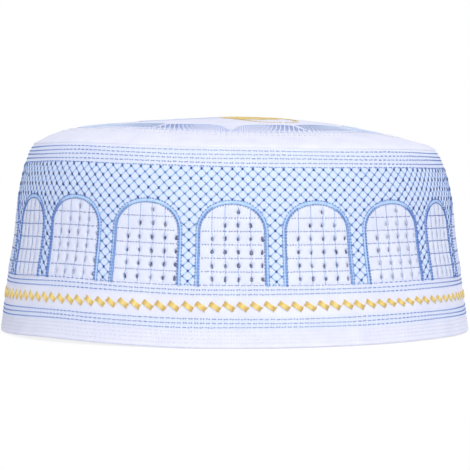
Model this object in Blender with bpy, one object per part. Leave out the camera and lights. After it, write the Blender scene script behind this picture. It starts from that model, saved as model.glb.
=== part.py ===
"""Round embroidered prayer cap: a stiff sewn side band with a row of arched windows that are
pierced with eyelets, and a domed crown panel whose edge sits on the band's upper edge.

Metres, +Z up. The cap stands on its open rim, with the origin at the rim's centre. The front
faces -Y. Azimuth is measured from the front towards +X, and the arches repeat along it.
"""

import math

import bpy

MM = 0.001

# Band: outer radius at the rim, height of the wall from the rim to its upper edge
RIM_RADIUS = 94.5 * MM
BAND_HEIGHT = 73.2 * MM
BAND_THICKNESS = 2.0 * MM
# The cap was shaped by hand: its left side stands this much above the mean and its right below
BAND_LEAN = 1.3 * MM

# Hem: the turned-up cloth along the rim, with its own thickness and the fold's small rounding
HEM_HEIGHT = 8.0 * MM
HEM_THICKNESS = 2.8 * MM
HEM_ROUNDING = 0.7 * MM

# Crown panel
CROWN_THICKNESS = 2.0 * MM
CROWN_RISE = 12.2 * MM
SEAM_GAP = 0.3 * MM

# Arched windows and the eyelets pierced in them
WINDOW_COUNT = 17
WINDOW_SILL = 23.0 * MM
EYELET_RADIUS = 0.65 * MM
EYELET_SPACING = 4.9 * MM
EYELET_ROW_HEIGHT = 4.9 * MM
EYELET_ROWS = 6
EYELET_SIDES = 8
# The eyelet columns stand a little to the right of each window's middle line
EYELET_OFFSET = 2.3 * MM
WINDOW_TURN = math.radians(-0.5)

# How finely the round forms are divided
PIER_COLUMNS = 2
CROWN_SECTORS = 68
UPPER_ROWS = 4
# The rows above the windows close up towards the shoulder, which bends more tightly
UPPER_CROWDING = 0.5
SMOOTH_ANGLE = math.radians(40)

# Band profile, bottom to top: share of the band's height, share of the rim's radius
BAND_PROFILE = [
    {"height": 0.000, "radius": 1.000},
    {"height": 0.170, "radius": 0.983},
    {"height": 0.335, "radius": 0.964},
    {"height": 0.500, "radius": 0.942},
    {"height": 0.680, "radius": 0.927},
    {"height": 0.790, "radius": 0.914},
    {"height": 0.900, "radius": 0.893},
    {"height": 0.962, "radius": 0.876},
    {"height": 1.000, "radius": 0.858},
]

# Crown profile, edge to middle: share of the crown's radius, share of its rise on the full,
# well rounded side and on the flatter side
CROWN_PROFILE = [
    {"radius": 0.995, "full": 0.045, "flat": 0.050},
    {"radius": 0.980, "full": 0.090, "flat": 0.100},
    {"radius": 0.965, "full": 0.150, "flat": 0.150},
    {"radius": 0.910, "full": 0.350, "flat": 0.250},
    {"radius": 0.800, "full": 0.600, "flat": 0.440},
    {"radius": 0.660, "full": 0.745, "flat": 0.610},
    {"radius": 0.520, "full": 0.845, "flat": 0.775},
    {"radius": 0.320, "full": 0.920, "flat": 0.900},
    {"radius": 0.130, "full": 0.975, "flat": 0.970},
]
FULL_SIDE = math.radians(-90)

# Eyelets cut in each window: row counted from the sill, column counted from the middle one
EYELETS = [
    {"row": 5, "column": 0},
    {"row": 3, "column": -1},
    {"row": 3, "column": 0},
    {"row": 3, "column": 1},
    {"row": 1, "column": -1},
    {"row": 1, "column": 0},
    {"row": 1, "column": 1},
]
EYELET_COLUMNS = (-1, 0, 1)

# Finish of both pieces
COTTON = {"color": (0.93, 0.94, 0.98, 1.0), "roughness": 0.9, "metallic": 0.0}


def smooth_lookup(table, key, value, at):
    """The table's value at one key, on a smooth curve through its rows (cubic Hermite)."""
    keys = [row[key] for row in table]
    values = [row[value] for row in table]
    if keys[0] > keys[-1]:
        keys.reverse()
        values.reverse()
    last = len(keys) - 1
    slopes = []
    for i in range(last + 1):
        before, after = max(i - 1, 0), min(i + 1, last)
        slopes.append((values[after] - values[before]) / (keys[after] - keys[before]))
    at = min(max(at, keys[0]), keys[-1])
    i = max(j for j in range(last) if keys[j] <= at)
    span = keys[i + 1] - keys[i]
    t = (at - keys[i]) / span
    return (
        (2 * t**3 - 3 * t**2 + 1) * values[i]
        + (t**3 - 2 * t**2 + t) * span * slopes[i]
        + (3 * t**2 - 2 * t**3) * values[i + 1]
        + (t**3 - t**2) * span * slopes[i + 1]
    )


def point(azimuth, radius, height):
    return (radius * math.sin(azimuth), -radius * math.cos(azimuth), height)


def upper_edge(azimuth):
    """Height of the band's upper edge, which leans to the right."""
    return BAND_HEIGHT - BAND_LEAN * math.sin(azimuth)


def band_radius(height):
    """Outer radius of the band at a height given before the lean."""
    return RIM_RADIUS * smooth_lookup(BAND_PROFILE, "height", "radius", height / BAND_HEIGHT)


def band_point(azimuth, height, depth=0.0):
    """A point of the band, at a depth under its outer face, lifted by the lean."""
    lifted = height * upper_edge(azimuth) / BAND_HEIGHT
    return point(azimuth, band_radius(height) - depth, lifted)


def wall_thickness(height):
    """The hem's own thickness up to its stitched edge, then the plain wall's."""
    return HEM_THICKNESS if height < HEM_HEIGHT else BAND_THICKNESS


def crown_height(azimuth, share):
    """Height of the crown's outer face, between its full and its flat profile."""
    fullness = max(0.0, math.cos(azimuth - FULL_SIDE)) ** 2
    full = smooth_lookup(CROWN_PROFILE, "radius", "full", share)
    flat = smooth_lookup(CROWN_PROFILE, "radius", "flat", share)
    rise = fullness * full + (1 - fullness) * flat
    seat = upper_edge(azimuth) + SEAM_GAP
    top = BAND_HEIGHT + SEAM_GAP + CROWN_RISE
    return seat + (top - seat) * rise


def window_columns():
    """Azimuths of the lines that part the band into columns, and what each column holds."""
    middle_radius = band_radius(WINDOW_SILL + EYELET_ROWS * EYELET_ROW_HEIGHT / 2)
    pitch = 2 * math.pi / WINDOW_COUNT
    cell = EYELET_SPACING / middle_radius
    first = WINDOW_TURN + EYELET_OFFSET / middle_radius + (EYELET_COLUMNS[0] - 0.5) * cell
    pier = pitch - cell * len(EYELET_COLUMNS)
    lines, holds = [], []
    for window in range(WINDOW_COUNT):
        start = first + window * pitch
        for place, column in enumerate(EYELET_COLUMNS):
            lines.append(start + place * cell)
            holds.append(column)
        for place in range(PIER_COLUMNS):
            lines.append(start + cell * len(EYELET_COLUMNS) + pier * place / PIER_COLUMNS)
            holds.append(None)
    return lines, holds


def band_levels():
    """Heights of the rows that part the band, and the eyelet row that starts at each."""
    levels = [HEM_ROUNDING, HEM_HEIGHT, (HEM_HEIGHT + WINDOW_SILL) / 2]
    rows = [None] * len(levels)
    for row in range(EYELET_ROWS):
        levels.append(WINDOW_SILL + row * EYELET_ROW_HEIGHT)
        rows.append(row)
    last = WINDOW_SILL + EYELET_ROWS * EYELET_ROW_HEIGHT
    for step in range(UPPER_ROWS + 1):
        share = step / UPPER_ROWS
        share *= 1 + UPPER_CROWDING * (1 - share)
        levels.append(last + (BAND_HEIGHT - last) * share)
        rows.append(None)
    return levels, rows


def add_mesh(name, vertices, faces, finish):
    mesh = bpy.data.meshes.new(name)
    mesh.from_pydata(vertices, [], faces)
    mesh.validate()
    mesh.shade_smooth()
    mesh.set_sharp_from_angle(angle=SMOOTH_ANGLE)
    mesh.materials.append(make_material(name, finish))
    shape = bpy.data.objects.new(name, mesh)
    bpy.context.scene.collection.objects.link(shape)
    return shape


def make_material(name, finish):
    material = bpy.data.materials.new(name + "_cotton")
    material.use_nodes = True
    shader = material.node_tree.nodes["Principled BSDF"]
    shader.inputs["Base Color"].default_value = finish["color"]
    shader.inputs["Roughness"].default_value = finish["roughness"]
    shader.inputs["Metallic"].default_value = finish["metallic"]
    return material


def eyelet_ring(vertices, azimuths, heights):
    """One eyelet in one cell: a ring of points on the outer face and one on the inner face."""
    azimuth, height = sum(azimuths) / 2, sum(heights) / 2
    radius = band_radius(height)
    rings = []
    for depth in (0.0, wall_thickness(height)):
        first = len(vertices)
        for side in range(EYELET_SIDES):
            turn = 2 * math.pi * (side + 0.5) / EYELET_SIDES
            along = azimuth + EYELET_RADIUS * math.cos(turn) / radius
            vertices.append(band_point(along, height + EYELET_RADIUS * math.sin(turn), depth))
        rings.append(list(range(first, first + EYELET_SIDES)))
    return rings


def pierced_cell(corners, ring):
    """Faces between a cell's corners and the points of the eyelet in it.

    Corners run anticlockwise from the lower left. Ring points run anticlockwise too, and start
    just above the right. Each side of the cell joins the ring's nearest edge, and each corner
    the edges between that one and the next side's.
    """
    sides = len(corners)
    step = len(ring) // sides
    faces = []
    for side in range(sides):
        low, high = corners[(side + 1) % sides], corners[(side + 2) % sides]
        first = side * step
        faces.append((low, high, ring[first], ring[first - 1]))
        for k in range(first, first + step - 1):
            faces.append((high, ring[k + 1], ring[k]))
    return faces


def build_side_band():
    """A closed wall: outer and inner faces on one grid of columns and rows, joined along the
    flat rim and the upper edge, with the eyelets cut through."""
    lines, holds = window_columns()
    levels, rows = band_levels()
    vertices, outer, inner = [], [], []
    for azimuth in lines:
        outer_line, inner_line = [], []
        for height in levels:
            outer_line.append(len(vertices))
            vertices.append(band_point(azimuth, height))
        for height in levels:
            inner_line.append(len(vertices))
            vertices.append(band_point(azimuth, height, wall_thickness(height)))
        # The rim's flat face lies between two points at the surface that the cap stands on
        rim = RIM_RADIUS - HEM_ROUNDING
        vertices.append(point(azimuth, rim, 0.0))
        vertices.append(point(azimuth, rim - HEM_THICKNESS + 2 * HEM_ROUNDING, 0.0))
        outer.append([len(vertices) - 2] + outer_line)
        inner.append([len(vertices) - 1] + inner_line)

    faces = []
    eyelets = {(hole["row"], hole["column"]) for hole in EYELETS}
    for i, line in enumerate(outer):
        j = (i + 1) % len(outer)
        right, under, under_right = outer[j], inner[i], inner[j]
        for k in range(len(line) - 1):
            out_cell = (line[k], right[k], right[k + 1], line[k + 1])
            in_cell = (under[k], under_right[k], under_right[k + 1], under[k + 1])
            if k and (rows[k - 1], holds[i]) in eyelets:
                azimuths = (lines[i], lines[i + 1])
                heights = (levels[k - 1], levels[k])
                out_ring, in_ring = eyelet_ring(vertices, azimuths, heights)
                faces += pierced_cell(out_cell, out_ring)
                faces += [face[::-1] for face in pierced_cell(in_cell, in_ring)]
                for side in range(EYELET_SIDES):
                    after = (side + 1) % EYELET_SIDES
                    faces.append((out_ring[side], out_ring[after], in_ring[after], in_ring[side]))
            else:
                faces.append(out_cell)
                faces.append(in_cell[::-1])
        faces.append((line[-1], right[-1], under_right[-1], under[-1]))
        faces.append((right[0], line[0], under[0], under_right[0]))
    return add_mesh("side_band", vertices, faces, COTTON)


def build_crown():
    """A domed panel: its outer face, its underside, and a flat edge that sits on the band."""
    edge = band_radius(BAND_HEIGHT)
    inner_edge = edge - BAND_THICKNESS - SEAM_GAP
    shares = [row["radius"] for row in CROWN_PROFILE]
    under_shares = [share for share in shares if share * edge < inner_edge]
    apex = BAND_HEIGHT + SEAM_GAP + CROWN_RISE
    vertices = [(0.0, 0.0, apex), (0.0, 0.0, apex - CROWN_THICKNESS)]
    top, top_under = 0, 1
    over, under = [], []
    for sector in range(CROWN_SECTORS):
        azimuth = 2 * math.pi * sector / CROWN_SECTORS
        seat = upper_edge(azimuth) + SEAM_GAP
        start = len(vertices)
        vertices.append(point(azimuth, inner_edge, seat))
        vertices.append(point(azimuth, edge, seat))
        for share in shares:
            vertices.append(point(azimuth, share * edge, crown_height(azimuth, share)))
        over.append(list(range(start, len(vertices))) + [top])
        under_start = len(vertices)
        for share in under_shares:
            height = max(crown_height(azimuth, share) - CROWN_THICKNESS, seat)
            vertices.append(point(azimuth, share * edge, height))
        under.append([start] + list(range(under_start, len(vertices))) + [top_under])

    faces = []
    for sector in range(CROWN_SECTORS):
        after = (sector + 1) % CROWN_SECTORS
        for line, right, flip in ((over[sector], over[after], 1), (under[sector], under[after], -1)):
            for k in range(len(line) - 2):
                faces.append((line[k], right[k], right[k + 1], line[k + 1])[::flip])
            faces.append((line[-2], right[-2], line[-1])[::flip])
    return add_mesh("crown", vertices, faces, COTTON)


def main():
    for shape in list(bpy.data.objects):
        bpy.data.objects.remove(shape)
    build_side_band()
    build_crown()


main()
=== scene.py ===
"""Embroidered prayer cap: fine cloth, threads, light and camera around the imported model.

Metres, +Z up, front towards -Y. Azimuth runs from the front towards +X. A place on the side band is
an azimuth and a height before the lean; a place on the crown is a plan point (x, y).
"""

import functools
import math

import bpy
import numpy as np
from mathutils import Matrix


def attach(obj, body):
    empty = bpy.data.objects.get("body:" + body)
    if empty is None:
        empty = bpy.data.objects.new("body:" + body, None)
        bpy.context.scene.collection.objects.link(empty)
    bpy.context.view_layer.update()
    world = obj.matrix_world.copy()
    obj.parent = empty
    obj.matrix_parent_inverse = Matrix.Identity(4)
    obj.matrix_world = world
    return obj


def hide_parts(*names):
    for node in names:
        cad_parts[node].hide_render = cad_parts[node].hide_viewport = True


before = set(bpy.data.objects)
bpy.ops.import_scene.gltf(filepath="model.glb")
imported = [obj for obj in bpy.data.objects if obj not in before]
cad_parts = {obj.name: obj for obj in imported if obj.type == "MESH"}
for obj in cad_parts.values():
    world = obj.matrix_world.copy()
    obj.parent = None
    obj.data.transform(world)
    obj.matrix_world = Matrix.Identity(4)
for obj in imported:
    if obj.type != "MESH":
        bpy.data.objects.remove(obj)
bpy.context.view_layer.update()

MM = 0.001
TURN = 2 * math.pi

# Form of the cap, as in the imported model
RIM_RADIUS = 94.5 * MM
BAND_HEIGHT = 73.2 * MM
BAND_THICKNESS = 2.0 * MM
BAND_LEAN = 1.3 * MM
HEM_HEIGHT = 8.0 * MM
HEM_THICKNESS = 2.8 * MM
HEM_ROUNDING = 0.7 * MM
CROWN_THICKNESS = 2.0 * MM
CROWN_RISE = 12.2 * MM
EDGE_ROUNDING = 0.06 * MM
SEAM_GAP = 0.3 * MM
FULL_SIDE = math.radians(-90)

# Bottom to top: share of the band's height, share of the rim's radius
BAND_PROFILE = {
    "height": [0.000, 0.170, 0.335, 0.500, 0.680, 0.790, 0.900, 0.962, 1.000],
    "radius": [1.000, 0.983, 0.964, 0.942, 0.927, 0.914, 0.893, 0.876, 0.858],
}
# Edge to middle: share of the crown's radius, share of its rise on the full and the flat side
CROWN_PROFILE = {
    "radius": [1.000, 0.995, 0.980, 0.965, 0.910, 0.800, 0.660, 0.520, 0.320, 0.130, 0.000],
    "full": [0.000, 0.045, 0.090, 0.150, 0.350, 0.600, 0.745, 0.845, 0.920, 0.975, 1.000],
    "flat": [0.000, 0.050, 0.100, 0.150, 0.250, 0.440, 0.610, 0.775, 0.900, 0.970, 1.000],
}

# Where the hand-made cap departs from a true round: by the azimuth in degrees, how far the band and
# the crown's edge are lifted, in millimetres, and how far the windows are turned on, in degrees
HAND_SHAPE = {
    "azimuth": [-110, -74, -53, -43, -32, -22, -11, 10, 31, 52, 74, 110],
    "lift": [0.00, 0.50, 1.35, 1.40, 0.90, 0.45, 0.00, 0.00, 0.20, 0.45, 0.20, 0.00],
    "turn": [0.00, 2.00, -0.55, -0.30, -0.10, 0.15, 0.25, -0.42, -0.35, 1.20, -1.20, 0.00],
}

# Lengths across the pattern are read at this radius, so every motif keeps its angle up the wall
PATTERN_RADIUS = 88.2 * MM
WINDOW_COUNT = 17
WINDOW_PITCH = TURN / WINDOW_COUNT
WINDOW_TURN = math.radians(-0.5)
WINDOW_TURNS = WINDOW_TURN + WINDOW_PITCH * np.arange(WINDOW_COUNT)
WINDOW_SILL = 22.9 * MM

# Satin border of a window: middle line on straight legs, then a slightly square round arch
ARCH_HALF = 12.9 * MM
ARCH_SPRING = 42.0 * MM
ARCH_RISE = 11.2 * MM
ARCH_POWER = 2.15
SATIN_HALF = 0.70 * MM
SATIN_PROUD = 0.26 * MM
SATIN_STRAND = 0.46 * MM

# Grid of stitched lines in a window; the eyelets lie on the uprights, midway between crosslines
UPRIGHT_SPACING = 4.865 * MM
UPRIGHT_OFFSET = 2.3 * MM
UPRIGHTS = (-2, -1, 0, 1, 2)
CROSSLINE_SPACING = 4.92 * MM
CROSSLINES = 5
EYELET_WIDE = 0.68 * MM
EYELET_TALL = 1.05 * MM
# Last upright's eyelets lie clear of the satin border, this much to the left
BORDER_CLEARANCE = 0.65 * MM

# Diamond lattice over and between the windows
LATTICE_TOP = 66.3 * MM
LATTICE_COLUMNS = 8
LATTICE_WIDE = WINDOW_PITCH * PATTERN_RADIUS / LATTICE_COLUMNS
LATTICE_TALL = 3.75 * MM
FIRST_KNOTS = LATTICE_TOP - 0.85 * MM

# Running rows of stitches around the band
SHOULDER_ROWS = [72.2 * MM, 70.7 * MM, 69.3 * MM, 67.7 * MM]
SILL_ROWS = [21.3 * MM, 19.7 * MM]
LOWER_ROWS = [10.70 * MM, 9.15 * MM, 7.68 * MM]
HEM_ROWS = [6.3 * MM, 4.9 * MM, 3.5 * MM, 2.1 * MM]
BLUE_ROWS = SHOULDER_ROWS + SILL_ROWS + LOWER_ROWS
ROW_PITCH = 1.08 * MM

# Gold row: blocks of slanting strands; from a strand's left end to its right, and lowest to highest
GOLD_ROW = 15.2 * MM
GOLD_BLOCKS = 115
GOLD_STRANDS = 7
GOLD_TURN = math.radians(1.78)
GOLD_RUN = (3.85 * MM, -2.65 * MM)
GOLD_STEP = (0.95 * MM, 1.30 * MM)

# Embroidery on the crown: a ring of fans, and a gold figure inside it
RING_CENTRE = (-1.5 * MM, 0.0)
RING_RADIUS = 62.0 * MM
FANS = 12
FAN_RAYS = 30
RAY_STITCHES = 4
OUTLINE_STITCHES = 420
FAN_DEPTH = 15.3 * MM
NOTCH_DEEP = 0.05
NOTCH_SHALLOW = 0.80
PETAL_TURN = math.radians(27)
PETAL_REACH = 41.5 * MM
PETAL_HALF = 11.5 * MM
PETAL_FILLED = (0.17, 0.68)
PETAL_STRANDS = 80
MIDDLE_STRANDS = 64


def smooth_curve(table, key, value, at):
    """Cubic Hermite curve through the points that two of the table's lists give, a point's slope
    being that between its neighbours."""
    order = np.argsort(table[key])
    keys, values = np.array(table[key])[order], np.array(table[value])[order]
    last = len(keys) - 1
    before = np.maximum(np.arange(last + 1) - 1, 0)
    after = np.minimum(np.arange(last + 1) + 1, last)
    slopes = (values[after] - values[before]) / (keys[after] - keys[before])
    at = np.clip(at, keys[0], keys[-1])
    i = np.clip(np.searchsorted(keys, at, side="right") - 1, 0, last - 1)
    span = keys[i + 1] - keys[i]
    t = (at - keys[i]) / span
    return (
        (2 * t**3 - 3 * t**2 + 1) * values[i]
        + (t**3 - 2 * t**2 + t) * span * slopes[i]
        + (3 * t**2 - 2 * t**3) * values[i + 1]
        + (t**3 - t**2) * span * slopes[i + 1]
    )


def smooth_step(low, high, value):
    """0 below low, 1 above high, and 3t^2 - 2t^3 between them."""
    t = np.clip((value - low) / (high - low), 0, 1)
    return t * t * (3 - 2 * t)


def turned(azimuth, radius, height):
    """x = r sin a, y = -r cos a, z = height."""
    parts = np.broadcast_arrays(radius * np.sin(azimuth), -radius * np.cos(azimuth), height)
    return np.stack(parts, axis=-1)


def unit(vectors):
    """Each vector over its own length."""
    return vectors / np.maximum(np.linalg.norm(vectors, axis=-1, keepdims=True), 1e-12)


# The side band's surface


def upper_edge(azimuth):
    """The band's height less lean x sin a, so that the left side is the higher one."""
    return BAND_HEIGHT - BAND_LEAN * np.sin(azimuth)


def hand_shape(kind, azimuth):
    """The lift or turn of HAND_SHAPE at any azimuth, which is first brought to within half a turn."""
    degrees = (np.degrees(azimuth) + 180) % 360 - 180
    return smooth_curve(HAND_SHAPE, "azimuth", kind, degrees)


def rim_lift(azimuth, height=0.0):
    """The whole of the table's lift at the rim, and 0.3 of it less at the upper edge."""
    return hand_shape("lift", azimuth) * MM * (1 - 0.3 * (height / BAND_HEIGHT) ** 2)


def window_drift(azimuth, height):
    """The windows and the lattice are turned on by the table's angle, the rows under them are not."""
    return np.radians(hand_shape("turn", azimuth)) * smooth_step(GOLD_ROW, WINDOW_SILL, height)


def band_radius(height):
    """The rim's radius x the profile's share at this height."""
    return RIM_RADIUS * smooth_curve(BAND_PROFILE, "height", "radius", height / BAND_HEIGHT)


def band_slope(height):
    """Change of the band's radius for each unit of height, from a short central difference."""
    step = 0.5 * MM
    return (band_radius(height + step) - band_radius(height - step)) / (2 * step)


def band_place(azimuth, height, proud=0.0):
    """Turned profile, moved `proud` square to its own slope, stretched upwards by the lean, and then
    lifted and turned on as the hand-made cap is."""
    slope = band_slope(height)
    tilt = np.sqrt(1 + slope**2)
    radius = band_radius(height) + proud / tilt
    level = height - proud * slope / tilt
    turn = azimuth + window_drift(azimuth, height)
    return turned(turn, radius, level * upper_edge(turn) / BAND_HEIGHT + rim_lift(turn, height))


def band_normal(azimuth, height):
    """Outwards by 1 and upwards by minus the slope, over its length."""
    slope = band_slope(height)
    return unit(turned(azimuth + window_drift(azimuth, height), np.ones_like(slope), -slope))


def across(azimuth):
    """Length from the nearest window's middle line, read at the pattern's radius."""
    turn = (azimuth - WINDOW_TURN + WINDOW_PITCH / 2) % WINDOW_PITCH - WINDOW_PITCH / 2
    return turn * PATTERN_RADIUS


def arch_level(along, height):
    """1 on the middle of the satin border and less inside: |x|/half on the legs, and above the
    springing the superellipse (|x|/half)^n + (y/rise)^n, to the power 1/n."""
    x = np.abs(along) / ARCH_HALF
    y = np.maximum(height - ARCH_SPRING, 0) / ARCH_RISE
    return (x**ARCH_POWER + y**ARCH_POWER) ** (1 / ARCH_POWER)


def grooves(height, rows, depth, width):
    """Sum over the rows of depth x exp(-(distance to the row / width)^2)."""
    away = (np.asarray(height)[..., None] - np.array(rows)) / width
    return depth * np.exp(-(away**2)).sum(axis=-1)


def pillow(first, second):
    """1 in the middle of each cell of two families of lines that lie at whole numbers, 0 on them."""
    return np.sqrt(np.abs(np.sin(math.pi * first) * np.sin(math.pi * second)))


def unevenness(azimuth, height):
    """Hand-shaped cloth: four long waves around the band that grow towards its middle height."""
    share = height / BAND_HEIGHT
    parts = ((0.30, 3, 1.3, 2.0), (0.22, 5, 4.1, -3.0), (0.12, 11, 0.7, 5.0), (0.07, 23, 2.2, -9.0))
    waves = sum(
        size * np.sin(count * azimuth + phase + climb * share) for size, count, phase, climb in parts
    )
    return waves * MM * np.sin(math.pi * np.clip(share, 0, 1))


def band_relief(azimuth, height):
    """How far the quilted cloth stands out of the plain turned face: long waves, less a groove along
    each running row, plus pillows between the window's lines and between the lattice's diagonals."""
    along = across(azimuth)
    level = arch_level(along, height)
    edge = SATIN_HALF / ARCH_HALF
    above_sill = smooth_step(WINDOW_SILL - 0.2 * MM, WINDOW_SILL + 0.6 * MM, height)
    inside = (1 - smooth_step(1 - 2 * edge, 1 - edge, level)) * above_sill
    outside = smooth_step(1 + edge, 1 + 2 * edge, level) * above_sill
    outside = outside * (1 - smooth_step(LATTICE_TOP - 0.4 * MM, LATTICE_TOP, height))
    cell = pillow(
        (along - UPRIGHT_OFFSET) / UPRIGHT_SPACING, (height - WINDOW_SILL) / CROSSLINE_SPACING
    )
    x, y = along / LATTICE_WIDE, (FIRST_KNOTS - height) / LATTICE_TALL
    diamond = pillow(x + y, x - y)
    rows = BLUE_ROWS + [LATTICE_TOP, WINDOW_SILL] + HEM_ROWS
    relief = 0.30 * MM * inside * cell + 0.18 * MM * outside * diamond
    relief -= grooves(height, rows, 0.20 * MM, 0.38 * MM)
    return relief + unevenness(azimuth, height)


# The crown's surface


def crown_height(azimuth, share):
    """Height of the crown's face: a blend of its full and its flat profile by the azimuth, scaled
    between the leaning seat and the top."""
    fullness = np.maximum(0, np.cos(azimuth - FULL_SIDE)) ** 2
    full = smooth_curve(CROWN_PROFILE, "radius", "full", share)
    flat = smooth_curve(CROWN_PROFILE, "radius", "flat", share)
    seat = seat_level(azimuth)
    top = BAND_HEIGHT + SEAM_GAP + CROWN_RISE
    return seat + (top - seat) * (fullness * full + (1 - fullness) * flat)


def seat_level(azimuth):
    """Height of the crown's edge: the seam gap over the band's upper edge, and lifted with it."""
    return upper_edge(azimuth) + SEAM_GAP + rim_lift(azimuth, BAND_HEIGHT)


def crown_edge():
    """The crown's radius, which is that of the band's upper edge."""
    return band_radius(BAND_HEIGHT)


def fan_reach(angle):
    """Radius of the fans' inner outline about the ring's centre: each fan is a flat arch between two
    notches, depth x (n + (1 - n) (1 - |t|^3)^(1/2)), t running from -1 to 1 across it, with n small
    at the deep notches and larger at the shallow ones."""
    pitch = TURN / FANS
    t = fan_place(angle)
    notch = np.where(np.round(angle / pitch) % 2 == 0, NOTCH_DEEP, NOTCH_SHALLOW)
    return RING_RADIUS - FAN_DEPTH * (notch + (1 - notch) * np.sqrt(1 - np.abs(t) ** 3))


def fan_place(angle):
    """Place across a fan, from -1 to 1."""
    pitch = TURN / FANS
    return (angle % pitch) / pitch * 2 - 1


def crown_relief(x, y):
    """Soft cloth between the embroidered lines: dips along the ring and the fans' outline, and long
    waves in two directions."""
    angle = np.arctan2(x - RING_CENTRE[0], RING_CENTRE[1] - y)
    radius = np.hypot(x - RING_CENTRE[0], y - RING_CENTRE[1])
    dips = np.exp(-(((radius - RING_RADIUS) / (0.6 * MM)) ** 2))
    dips += np.exp(-(((radius - fan_reach(angle)) / (0.6 * MM)) ** 2))
    waves = np.sin(x / (17 * MM) + 0.6) * np.sin(y / (21 * MM) + 1.9)
    share = np.hypot(x, y) / crown_edge()
    return -0.2 * MM * dips + 0.25 * MM * waves * (1 - smooth_step(0.8, 1.0, share))


def crown_place(x, y, proud=0.0):
    """The face's point over the plan point, moved `proud` along the face's normal."""
    azimuth, share = np.arctan2(x, -y), np.hypot(x, y) / crown_edge()
    base = np.stack(np.broadcast_arrays(x, y, crown_height(azimuth, share)), axis=-1)
    return base + np.asarray(proud)[..., None] * crown_normal(x, y)


def crown_normal(x, y):
    """From the height's change over a short step in x and in y."""
    step = 0.4 * MM

    def level(px, py):
        return crown_height(np.arctan2(px, -py), np.hypot(px, py) / crown_edge())

    rise_x = (level(x + step, y) - level(x - step, y)) / (2 * step)
    rise_y = (level(x, y + step) - level(x, y - step)) / (2 * step)
    return unit(np.stack(np.broadcast_arrays(-rise_x, -rise_y, 1.0), axis=-1))


# Meshes


def make_piece(name, vertices, faces, uvs, material, slot, replaced=None, attributes=None):
    """One mesh from arrays: `faces` holds an array of corner numbers for each face size, `uvs` the
    same arrays' texture places, in millimetres of cloth or thread, and `attributes` a value for each
    point under each name."""
    mesh = bpy.data.meshes.new(name)
    corners = np.concatenate([part.ravel() for part in faces]).astype(np.int32)
    counts = np.concatenate([np.full(len(part), part.shape[1]) for part in faces])
    mesh.vertices.add(len(vertices))
    mesh.vertices.foreach_set("co", np.ascontiguousarray(vertices, np.float32).ravel())
    mesh.loops.add(len(corners))
    mesh.loops.foreach_set("vertex_index", corners)
    mesh.polygons.add(len(counts))
    starts = np.concatenate([[0], np.cumsum(counts)[:-1]]).astype(np.int32)
    mesh.polygons.foreach_set("loop_start", starts)
    layer = mesh.uv_layers.new(name="cloth")
    places = np.concatenate([part.reshape(-1, 2) for part in uvs])
    layer.data.foreach_set("uv", places.astype(np.float32).ravel())
    for key, values in (attributes or {}).items():
        layer = mesh.attributes.new(key, "FLOAT", "POINT")
        layer.data.foreach_set("value", np.asarray(values, np.float32))
    mesh.update(calc_edges=True)
    mesh.shade_smooth()
    mesh.materials.append(material)
    piece = bpy.data.objects.new(name, mesh)
    bpy.context.scene.collection.objects.link(piece)
    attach(piece, "root")
    if replaced:
        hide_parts(replaced)
    return piece


def subdivided(anchors, longest):
    """Heights that pass through every anchor, with no step longer than `longest`."""
    levels = [anchors[0]]
    for low, high in zip(anchors[:-1], anchors[1:]):
        parts = math.ceil((high - low) / longest - 1e-6)
        levels += list(low + (high - low) * np.arange(1, parts + 1) / parts)
    return np.array(levels)


def window_columns():
    """Azimuths of the fine grid's columns, with one on every upright of every window."""
    between = 5
    step = UPRIGHT_SPACING / between
    first = UPRIGHT_OFFSET + UPRIGHTS[0] * UPRIGHT_SPACING
    span = (len(UPRIGHTS) - 1) * UPRIGHT_SPACING
    rest = WINDOW_PITCH * PATTERN_RADIUS - span
    outer = round(rest / step)
    within = first + step * np.arange(between * (len(UPRIGHTS) - 1))
    beyond = first + span + rest * np.arange(outer) / outer
    one = np.concatenate([within, beyond]) / PATTERN_RADIUS
    return (one + WINDOW_TURNS[:, None]).ravel(), len(one), between


def eyelet_places():
    """Row (0 over the sill) and upright of each eyelet in one window: fewer where the arch narrows."""
    places = [(row, upright) for row in range(4) for upright in UPRIGHTS]
    places += [(4, upright) for upright in UPRIGHTS[1:4]]
    return places + [(CROSSLINES, UPRIGHTS[2])]


def eyelet_height(row):
    """Halfway between two crosslines."""
    return WINDOW_SILL + (row + 0.5) * CROSSLINE_SPACING


def quads_between(first, second):
    """Four-cornered faces from one row of points to the next, closed round the rows' last axis."""
    corners = [first, np.roll(first, -1, axis=-1), np.roll(second, -1, axis=-1), second]
    return np.stack(corners, axis=-1).reshape(-1, 4)


def anchor_levels(*groups):
    """The groups' heights as one rising list that has each height once."""
    return np.unique(np.round(np.concatenate(groups), 7))


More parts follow.
